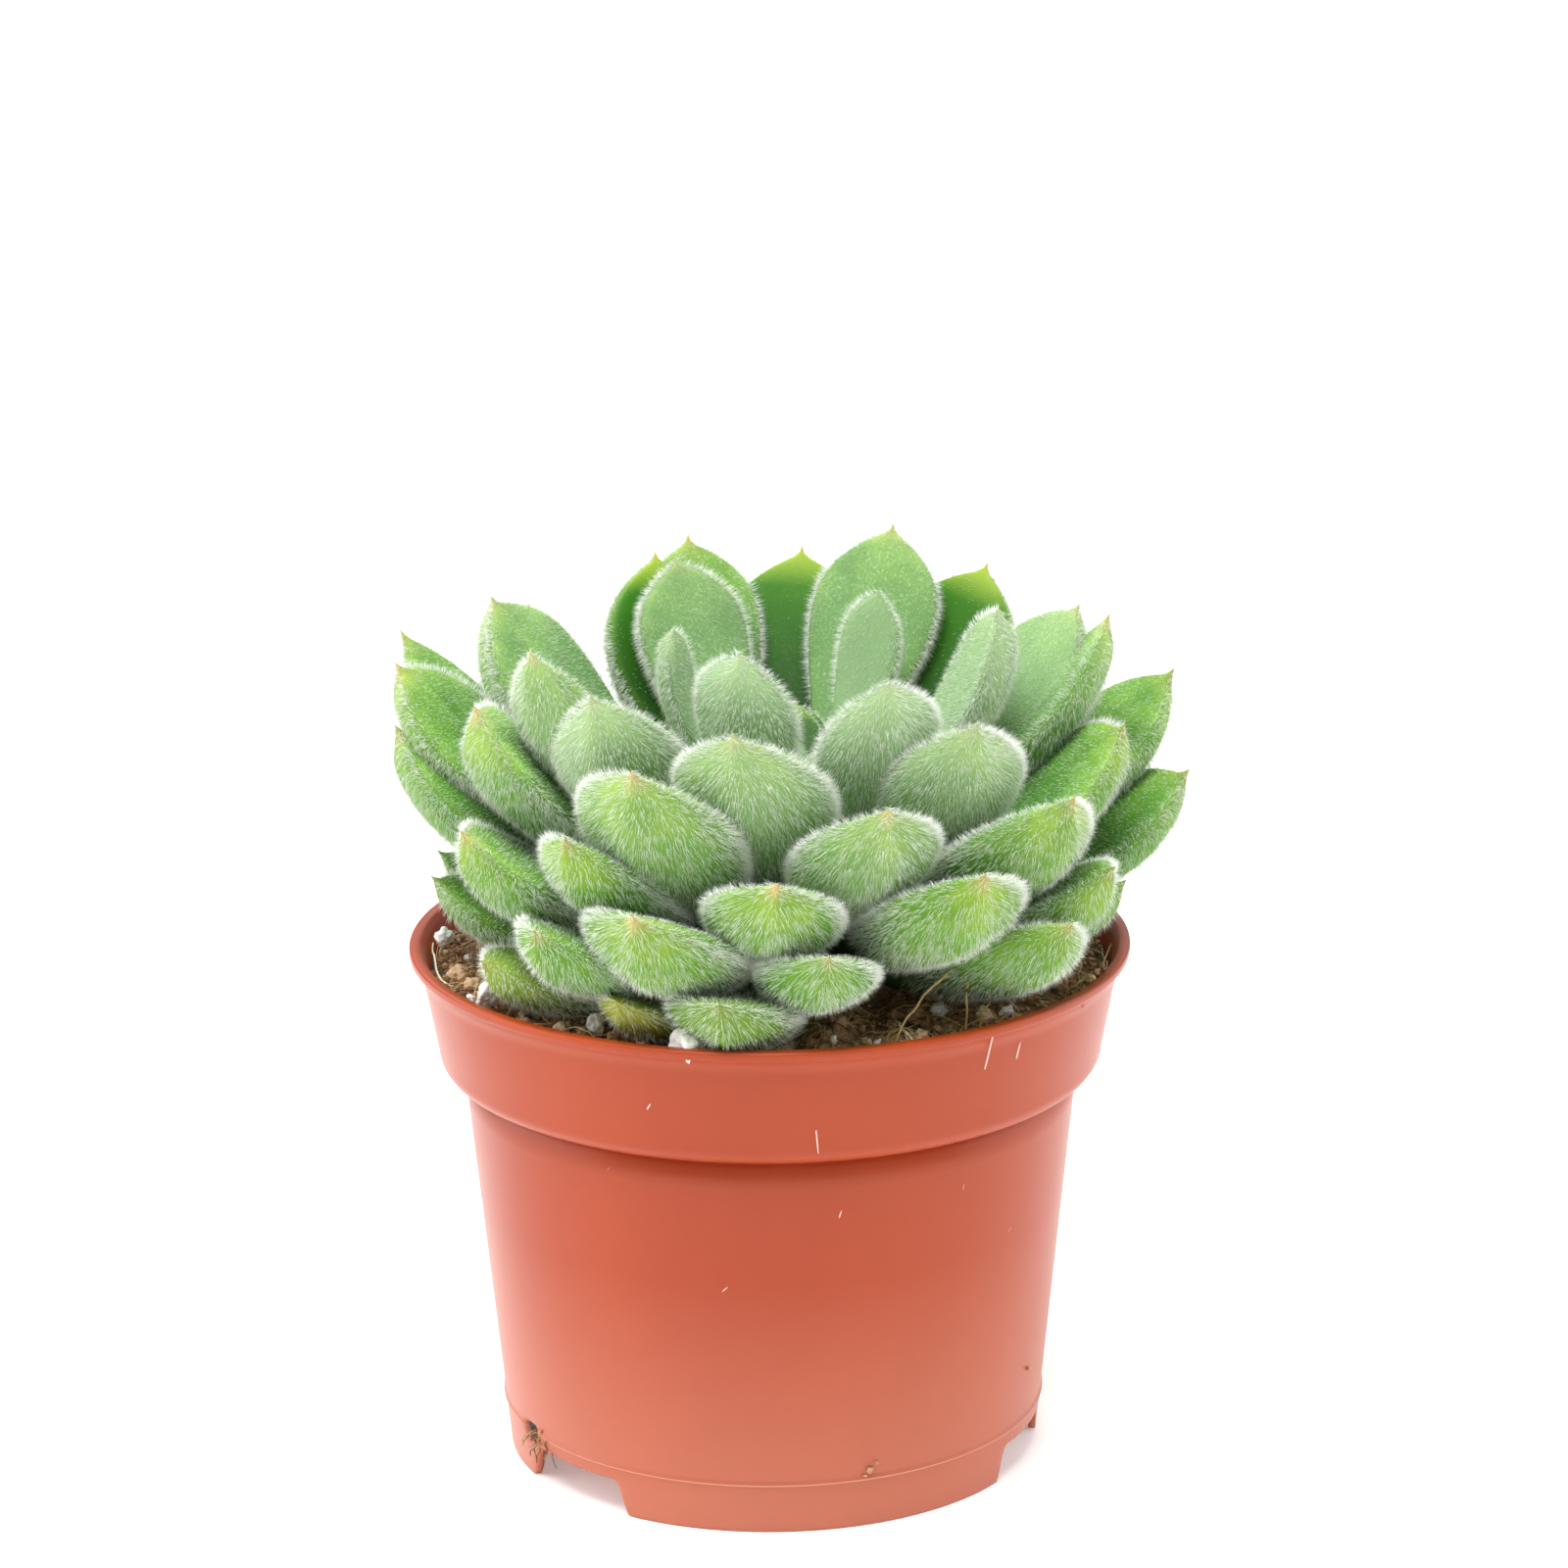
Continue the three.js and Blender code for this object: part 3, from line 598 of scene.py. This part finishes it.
soilShape = {"rings": 96, "segments": 360, "depth": 8, "edgeDrop": 2.6, "lump": 1.5, "crumbs": 3600,
             "crumbSize": (0.35, 1.5), "clods": 110, "clodSize": (1.8, 3.6), "fibres": 900,
             "fibreRadius": (0.06, 0.15), "fibreLength": (5, 18), "fibreSteps": 10, "seed": 7}
# perlite grains: x, y, size in millimetres from the pot's axis, lift over the soil
perliteNotes = [[-54.2, 3, 3.8, 3.2], [-45.4, -29, 5.2, 1.6], [-12.8, -53.4, 5.6, 1.4],
                [-28, -40.5, 3.2, 0.6], [27.2, -33, 2.8, 0.5], [-34, 36, 4.2, 0], [12, 50, 4.6, 0],
                [46, 24, 3.4, 0], [-10, 47, 2.8, 0], [-50, -2, 1.8, 0.3], [38, -36, 2.0, 0.3],
                [-4, -47, 1.7, 0.5], [30, 42, 3.8, 0], [-49, -21, 1.6, 0.8], [-35, -42, 1.5, 0.4],
                [10, -50, 1.5, 0.3], [17, -47, 1.3, 0.3]]
# long straw fibres: start and end (x, y, height over the soil), sideways bow
strawNotes = [[28.5, -41, 11, 20, -48, 0.8, 1.2], [33, -39, 10, 31.5, -42, 0.8, 1.0],
              [20.2, -38, 2.2, 22.4, -48, 1.0, 0.5], [35, -36, 4.0, 33, -41, 0.8, -0.8],
              [-39, -31, 6.0, -35, -37, 0.8, 1.2], [-56, 3, 3.5, -52, -14, 1, 1.5],
              [-26, -40, 3.5, -19, -51, 1.0, -0.8], [-19, -42, 3.0, -21.5, -50, 0.8, 1.0],
              [-39, -26, 3.2, -44, -33, 0.9, -0.6],
              [49, -22, 1.8, 56, -8, 2.2, 1.6], [52, -16, 1.2, 57, 4, 2.6, 1.0],
              [-10, -40, 1.0, 6, -43, 1.0, 2.0], [5, -40, 4.0, 8, -44, 0.5, 0.6],
              [13, -36, 3.0, 11, -43, 0.6, -0.8], [36, -32, 2.8, 40, -34, 0.8, 0.4],
              [-48, 24, 2.0, -40, 34, 1.0, 2.0], [20, 46, 2.0, 32, 40, 1.2, -1.5],
              [-16, 48, 2.2, -2, 52, 1.0, 1.5]]

soilLow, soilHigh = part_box("soil")
latticeNumbers = np.random.default_rng(5).uniform(-1, 1, (32, 32, 32))


def latticeNoise(points, size):
    # random numbers on a cubic lattice, blended inside each cell by a smooth step
    q = points / size + 500.0
    cell = np.floor(q).astype(int)
    t = q - cell
    t = t * t * (3 - 2 * t)
    total = 0
    for dx in (0, 1):
        for dy in (0, 1):
            for dz in (0, 1):
                share = np.abs(1 - dx - t[..., 0]) * np.abs(1 - dy - t[..., 1]) * np.abs(1 - dz - t[..., 2])
                total = total + share * latticeNumbers[(cell[..., 0] + dx) % 32, (cell[..., 1] + dy) % 32,
                                                       (cell[..., 2] + dz) % 32]
    return total


def groundHeight(x, y):
    # soil level in mm: three sizes of lattice lumps on a disc that drops towards the wall, with two clumps
    p = soilShape
    flat = np.stack([x, y, np.zeros_like(x)], -1)
    lumps = latticeNoise(flat, 9.0) + 0.6 * latticeNoise(flat + 40, 3.4)
    lumps = lumps + 0.35 * np.abs(latticeNoise(flat + 90, 1.3))
    radius = np.hypot(x, y)
    hollow = 0.15 + 0.3 * smoothStep(-x, -10, 50)
    level = soilHigh.z / mm - 0.4 + p["lump"] * lumps - p["edgeDrop"] * hollow * smoothStep(radius, 50, 57)
    clump = 3.6 * np.exp(-((x - 22) ** 2 + (y + 14) ** 2) / 40)
    clump = clump + 1.5 * np.exp(-((x - 14) ** 2 + (y + 36) ** 2) / 30)
    return level + clump * (1 + 0.5 * latticeNoise(flat + 60, 2.2))


def pottingSoilMaterial():
    # damp peat, quite matt: near black in the hollows, brown on the ridges; on the soil's surface this follows
    # its height and is painted shade and light
    material, tree = newMaterial("dampPeatSoil")
    place = addNode(tree, "ShaderNodeTexCoord").outputs["Object"]
    coarse = addNode(tree, "ShaderNodeTexNoise", Vector=place, Scale=420.0, Detail=6.0, Roughness=0.7).outputs[0]
    fine = addNode(tree, "ShaderNodeTexVoronoi", Vector=place, Scale=1300.0).outputs["Distance"]
    shade = addNode(tree, "ShaderNodeAttribute", {"attribute_name": "shade"}).outputs["Fac"]
    mixed = addNode(tree, "ShaderNodeMath", {"operation": "MULTIPLY_ADD"}, Value_0=shade, Value_1=0.5,
                    Value_2=coarse).outputs[0]
    colour = rampNode(tree, mixed, [(0.22, "#3A281E"), (0.42, "#8C6749"), (0.66, "#C89B74"), (0.92, "#EACBA4")])
    height = addNode(tree, "ShaderNodeMath", {"operation": "ADD"}, Value_0=coarse, Value_1=fine).outputs[0]
    bump = addNode(tree, "ShaderNodeBump", Strength=0.8, Distance=0.0006, Height=height).outputs[0]
    finishMaterial(tree, BaseColor=colour, Roughness=0.85, Normal=bump)
    return material


def coirMaterial():
    # dry coir and rootlets: straw to brown, slightly shiny
    material, tree = newMaterial("dryCoirFibre")
    shade = addNode(tree, "ShaderNodeAttribute", {"attribute_name": "shade"}).outputs["Fac"]
    colour = rampNode(tree, shade, [(0.0, "#5A3B26"), (0.45, "#A07850"), (0.8, "#DDB877"), (1.0, "#F0E6CC")])
    finishMaterial(tree, BaseColor=colour, Roughness=0.5)
    return material


def perliteMaterial():
    # expanded perlite: white, glassy foam with tiny pits, whose greyer centres are painted shade
    material, tree = newMaterial("whitePerlite")
    place = addNode(tree, "ShaderNodeTexCoord").outputs["Object"]
    pits = addNode(tree, "ShaderNodeTexVoronoi", Vector=place, Scale=1800.0).outputs["Distance"]
    # painted shade: the pits' centres are coloured greyer than the foam
    colour = rampNode(tree, pits, [(0.0, "#CFC8BC"), (0.25, "#F1EEE8"), (1.0, "#FBFAF7")])
    bump = addNode(tree, "ShaderNodeBump", Strength=0.5, Distance=0.0003, Height=pits).outputs[0]
    finishMaterial(tree, BaseColor=colour, Roughness=0.6, Normal=bump)
    return material


def ballPoints(level):  # unit icosphere as points and triangles
    shape = bmesh.new()
    bmesh.ops.create_icosphere(shape, subdivisions=level, radius=1)
    points = np.array([v.co[:] for v in shape.verts])
    faces = np.array([[v.index for v in f.verts] for f in shape.faces])
    shape.free()
    return points, faces


def scatterLumps(name, places, sizes, level, roughness, material, rng, shade):
    # each lump is an icosphere pushed in and out by lattice noise, then squashed and turned at random
    ball, faces = ballPoints(level)
    count = len(places)
    stretch = rng.uniform(0.6, 1.25, (count, 1, 3))
    offset = rng.uniform(0, 300, (count, 1, 3))
    coarse, fine = latticeNoise(ball[None] * 1.7 + offset, 1.0), latticeNoise(ball[None] * 4 + offset, 1.0)
    radius = 1 + roughness * (coarse + 0.5 * fine)
    turn = np.linalg.qr(rng.normal(0, 1, (count, 3, 3)))[0]
    turn = turn * np.sign(np.linalg.det(turn))[:, None, None]
    lumps = np.einsum("cpi,cji->cpj", ball[None] * radius[..., None] * stretch, turn)
    points = (lumps * sizes[:, None, None] / 2 + places[:, None]).reshape(-1, 3) * mm + potAxis
    allFaces = (faces[None] + (np.arange(count) * len(ball))[:, None, None]).reshape(-1, 3)
    piece = makePiece(name, points, [allFaces], [material], {"shade": np.repeat(shade, len(ball))})
    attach(piece, "root")


def makeFibres(name, paths, radii, shade, material):
    # three-sided tubes along the paths (n, k, 3), thinner at both ends and closed by a small triangle
    count, steps = paths.shape[:2]
    tangent = unit(np.gradient(paths, axis=1))
    first = unit(np.cross(tangent, np.array([0.13, 0.21, 1.0])))
    second = np.cross(tangent, first)
    turn = np.radians([0, 120, 240])
    taper = (0.25 + 0.75 * np.sin(np.pi * np.linspace(0.06, 0.94, steps)) ** 0.4)[None, :, None, None]
    ring = paths[:, :, None] + radii[:, None, None, None] * taper * (
        first[:, :, None] * np.cos(turn)[:, None] + second[:, :, None] * np.sin(turn)[:, None])
    tube = gridFaces(steps, 3)
    last = (steps - 1) * 3
    base = (np.arange(count) * steps * 3)[:, None, None]
    quads = (base + tube[None]).reshape(-1, 4)
    ends = (base + np.array([[2, 1, 0], [last, last + 1, last + 2]])[None]).reshape(-1, 3)
    piece = makePiece(name, ring.reshape(-1, 3) * mm + potAxis, [quads, ends], [material],
                      {"shade": np.repeat(shade, steps * 3)})
    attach(piece, "root")


def makeSoil():
    p = soilShape
    rng = np.random.default_rng(p["seed"])
    soilMaterial, coir = pottingSoilMaterial(), coirMaterial()
    outer = (soilHigh.x - soilLow.x) / 2 / mm + 0.6
    radius = outer * np.linspace(1 / p["rings"], 1, p["rings"])[:, None] ** 0.8
    angle = np.linspace(0, 2 * np.pi, p["segments"], endpoint=False)[None]
    x, y = radius * np.cos(angle), radius * np.sin(angle)
    top = np.stack([x, y, groundHeight(x, y)], -1)
    bottom = soilHigh.z / mm - p["depth"]
    skirt = np.stack([x[-1] * 0.96, y[-1] * 0.96, np.full(p["segments"], bottom)], -1)
    grid = np.concatenate([top, skirt[None]])
    centres = np.array([[0, 0, groundHeight(np.zeros(1), np.zeros(1))[0]], [0, 0, bottom]])
    points = np.concatenate([grid.reshape(-1, 3), centres]) * mm + potAxis
    ring = np.arange(p["segments"])
    count = len(grid) * p["segments"]
    caps = np.concatenate([fanFaces(ring, count, True), fanFaces(ring + count - p["segments"], count + 1)])
    # painted shade and light: each point's height over the mean sets the soil's tone, darker in the hollows and
    # lighter on the ridges
    ridgeLightHollowShade = (grid[..., 2].ravel() - grid[:-1, :, 2].mean()) / 4
    faces = [gridFaces(len(grid), p["segments"]), caps[:, ::-1]]
    piece = makePiece("soil_surface", points, faces, [soilMaterial],
                      {"shade": np.append(np.clip(ridgeLightHollowShade, -0.5, 0.5), [0, 0])})
    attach(piece, "root")
    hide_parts("soil")
    turn = rng.uniform(0, 2 * np.pi, p["crumbs"])
    reach = np.sqrt(rng.uniform(0.3, 1, p["crumbs"])) * (outer - 0.8)
    x, y = reach * np.cos(turn), reach * np.sin(turn)
    size = p["crumbSize"][0] + (p["crumbSize"][1] - p["crumbSize"][0]) * rng.random(p["crumbs"]) ** 2.2
    places = np.stack([x, y, groundHeight(x, y) + 0.25 * size], -1)
    scatterLumps("soil_crumbs", places, size, 1, 0.45, soilMaterial, rng, rng.uniform(-0.3, 1.0, p["crumbs"]))
    turn = rng.uniform(0, 2 * np.pi, p["clods"])
    reach = np.sqrt(rng.uniform(0.45, 0.96, p["clods"])) * (outer - 1.8)
    x, y = reach * np.cos(turn), reach * np.sin(turn)
    size = rng.uniform(*p["clodSize"], p["clods"])
    places = np.stack([x, y, groundHeight(x, y) + 0.2 * size], -1)
    scatterLumps("soil_clods", places, size, 3, 0.5, soilMaterial, rng, rng.uniform(0.1, 0.9, p["clods"]))
    grains = np.array(perliteNotes, float)
    z = groundHeight(grains[:, 0], grains[:, 1]) + 0.36 * grains[:, 2] + grains[:, 3]
    scatterLumps("perlite_grains", np.stack([grains[:, 0], grains[:, 1], z], -1), grains[:, 2], 4, 0.3,
                 perliteMaterial(), rng, np.zeros(len(grains)))
    count, steps = p["fibres"], p["fibreSteps"]
    t = np.linspace(0, 1, steps)[None]
    turn = rng.uniform(0, 2 * np.pi, (count, 1))
    reach = np.sqrt(rng.uniform(0.33, 0.93, (count, 1))) * outer
    length = rng.uniform(*p["fibreLength"], (count, 1))
    heading = rng.uniform(0, 2 * np.pi, (count, 1)) + rng.normal(0, 1.6, (count, 1)) * t
    heading = heading + rng.normal(0, 0.6, (count, 1)) * np.sin(7 * t)
    x = reach * np.cos(turn) + np.cumsum(np.cos(heading), 1) * length / steps
    y = reach * np.sin(turn) + np.cumsum(np.sin(heading), 1) * length / steps
    inside = np.minimum(1, (outer - 1.2) / np.hypot(x, y))
    x, y = x * inside, y * inside
    arch = rng.uniform(0.1, 2.2, (count, 1)) * np.sin(np.pi * t)
    paths = np.stack([x, y, groundHeight(x, y) + 0.2 + arch], -1)
    makeFibres("coir_fibres", paths, rng.uniform(*p["fibreRadius"], count), rng.uniform(0.05, 0.9, count),
               coir)
    notes = np.array(strawNotes, float)
    start, end, bow = notes[:, 0:3], notes[:, 3:6], notes[:, 6]
    t = np.linspace(0, 1, 14)[None, :, None]
    line = start[:, None] * (1 - t) + end[:, None] * t
    sideways = unit(np.cross(end - start, [0, 0, 1.0]))
    bow = bow[:, None, None]
    line = line + sideways[:, None] * (bow * np.sin(np.pi * t) + 0.25 * np.sin(9 * t + bow * 5))
    line[..., 2] += groundHeight(line[..., 0], line[..., 1])
    makeFibres("straw_fibres", line, np.linspace(0.24, 0.15, len(notes)), np.tile([0.82, 0.78, 1.0], 6),
               coir)
    print("soil done")


makeSoil()


# Marks on the pot: scuffs (turn in degrees from the front, height, length along the wall, slant), crumbs
# stuck to the wall (turn, height, size), and rootlets that hang out of the foot's left notch.
markShape = {"scuffs": [[37, 83.5, 6.5, 0.12], [43.5, 82, 3.0, 0.1], [7.5, 71.5, 4.2, -0.1],
                        [12.5, 57, 1.6, 0.3], [38, 58, 1.2, 0.0], [-9, 44, 0.9, 1.2], [-20, 77, 1.1, 0.6],
                        [-31, 63, 1.0, 1.0], [52, 47, 0.8, 0.7]],
             "crumbs": [[20, 10.2, 1.3], [21.3, 11.4, 0.8], [19, 9.2, 0.7], [66, 18, 0.9], [-58, 9.5, 0.7],
                        [61, 84.5, 1.4], [63, 86.5, 1.6], [65, 88.0, 1.9], [68, 88.2, 1.5], [71, 88.4, 1.2],
                        [66, 87.6, 1.0]],
             "rootTurn": -60, "roots": 22}


def wallRadius(z):  # outer radius of the pot's wall in mm at heights z: the collar's cone over the body's
    p = potShape
    shoulderTop, lipBottom = p["collarBottom"] + p["shoulder"], (potHigh.z - potLow.z) / mm - p["lipHeight"]
    share = (z - shoulderTop) / (lipBottom - shoulderTop)
    collar = p["collarRadius"] + (p["collarTopRadius"] - p["collarRadius"]) * share
    return np.where(z > p["collarBottom"] + 2, collar, bodyLine(z))


def makeMarks():
    p = markShape
    rng = np.random.default_rng(11)
    t = np.linspace(-0.5, 0.5, 8)[None]
    notes = np.array(p["scuffs"])
    z = notes[:, 1:2] + notes[:, 2:3] * t
    turn = np.radians(notes[:, 0:1]) + notes[:, 3:4] * notes[:, 2:3] * t / 55
    radius = wallRadius(z) + 0.03
    paths = np.stack([radius * np.sin(turn), -radius * np.cos(turn), z], -1)
    scuff, tree = newMaterial("scuffedPlastic")
    finishMaterial(tree, BaseColor=linearColour("#F3DDD2"), Roughness=0.6)
    makeFibres("wall_scuffs", paths, np.linspace(0.2, 0.12, len(notes)), np.zeros(len(notes)), scuff)
    bits = np.array(p["crumbs"])
    turn = np.radians(bits[:, 0])
    radius = np.where(bits[:, 1] > 84, 57.4, wallRadius(bits[:, 1]) + 0.25)
    places = np.stack([radius * np.sin(turn), -radius * np.cos(turn), bits[:, 1]], -1)
    scatterLumps("wall_crumbs", places, bits[:, 2], 2, 0.4, bpy.data.materials["dampPeatSoil"], rng,
                 np.full(len(bits), 0.3))
    count = p["roots"]
    t = np.linspace(0, 1, 12)[None]
    turn = np.radians(p["rootTurn"] + rng.normal(0, 3.2, (count, 1)) + rng.normal(0, 4, (count, 1)) * t)
    radius = potShape["footRadius"] + rng.uniform(0.3, 2.6, (count, 1)) * t
    radius = radius + 0.3 * np.sin(9 * t + rng.uniform(0, 6, (count, 1)))
    z = 8.4 + rng.normal(0, 0.6, (count, 1)) - rng.uniform(0.5, 4.5, (count, 1)) * t ** 1.5
    z = z + 0.3 * np.sin(8 * t + rng.uniform(0, 6, (count, 1)))
    paths = np.stack([radius * np.sin(turn), -radius * np.cos(turn), z], -1)
    makeFibres("hanging_rootlets", paths, rng.uniform(0.08, 0.17, count), rng.uniform(0.1, 0.8, count),
               bpy.data.materials["dryCoirFibre"])
    print("marks done")


makeMarks()


def makeStemSkin():
    # the stem keeps its CAD shape; a rough tan skin with fine lengthwise streaks
    material, tree = newMaterial("corkyStemSkin")
    place = addNode(tree, "ShaderNodeTexCoord").outputs["Object"]
    drawn = addNode(tree, "ShaderNodeMapping", Vector=place, Scale=(1, 1, 0.25)).outputs[0]
    streak = addNode(tree, "ShaderNodeTexNoise", Vector=drawn, Scale=700.0, Detail=5.0).outputs["Fac"]
    colour = rampNode(tree, streak, [(0.3, "#5F4B33"), (0.55, "#8C7A50"), (0.75, "#8FA060")])
    bump = addNode(tree, "ShaderNodeBump", Strength=0.6, Distance=0.0004, Height=streak).outputs[0]
    finishMaterial(tree, BaseColor=colour, Roughness=0.8, Normal=bump)
    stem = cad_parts["stem"]
    stem.data.materials.clear()
    stem.data.materials.append(material)
    print("stem done")


makeStemSkin()

# the bud's leaves, from the outside in: how far the foot stands from the stem's axis, length, lift in
# degrees, width, and how far the feet sink below the stem's top
budShape = {"leaves": 11, "turnStep": 137.5, "spread": (3.4, 0.3), "length": (9.5, 6.0), "lift": (58, 88),
            "width": (6.2, 4.4), "sink": 2.5}


def makeBud(skin, hair):
    # the growing tip over the stem: each leaf stands one golden angle on, shorter and steeper than the last
    p = budShape
    ahead = unit(np.cross(stemAxis, [1.0, 0.0, 0.0]))
    aside = np.cross(ahead, stemAxis)
    for number, share in enumerate(np.linspace(0, 1, p["leaves"])):
        rng = np.random.default_rng(3000 + number)
        turn = math.radians(number * p["turnStep"])
        outward = ahead * math.cos(turn) + aside * math.sin(turn)
        lift = math.radians(np.interp(share, [0, 1], p["lift"]))
        chord = outward * math.cos(lift) + stemAxis * math.sin(lift)
        length = np.interp(share, [0, 1], p["length"]) * mm
        foot = stemTop - stemAxis * p["sink"] * mm + outward * np.interp(share, [0, 1], p["spread"]) * mm
        up = stemAxis * math.cos(lift) - outward * math.sin(lift)
        leaf = {"name": "bud_leaf_%02d" % (number + 1), "foot": foot, "tip": foot + chord * length,
                "chord": chord, "side": np.cross(chord, up), "up": up, "length": length, "sweep": 0.0,
                "width": np.interp(share, [0, 1], p["width"]) * mm, "bald": 0.0, "hairiness": 1.1}
        makeLeaf(leaf, rng, skin, hair, {"young": 0.8, "oldLeafPaintedShade": 0.0, "wilt": 0.0}, None)
    print("bud done")


makeBud(*leafMaterials)
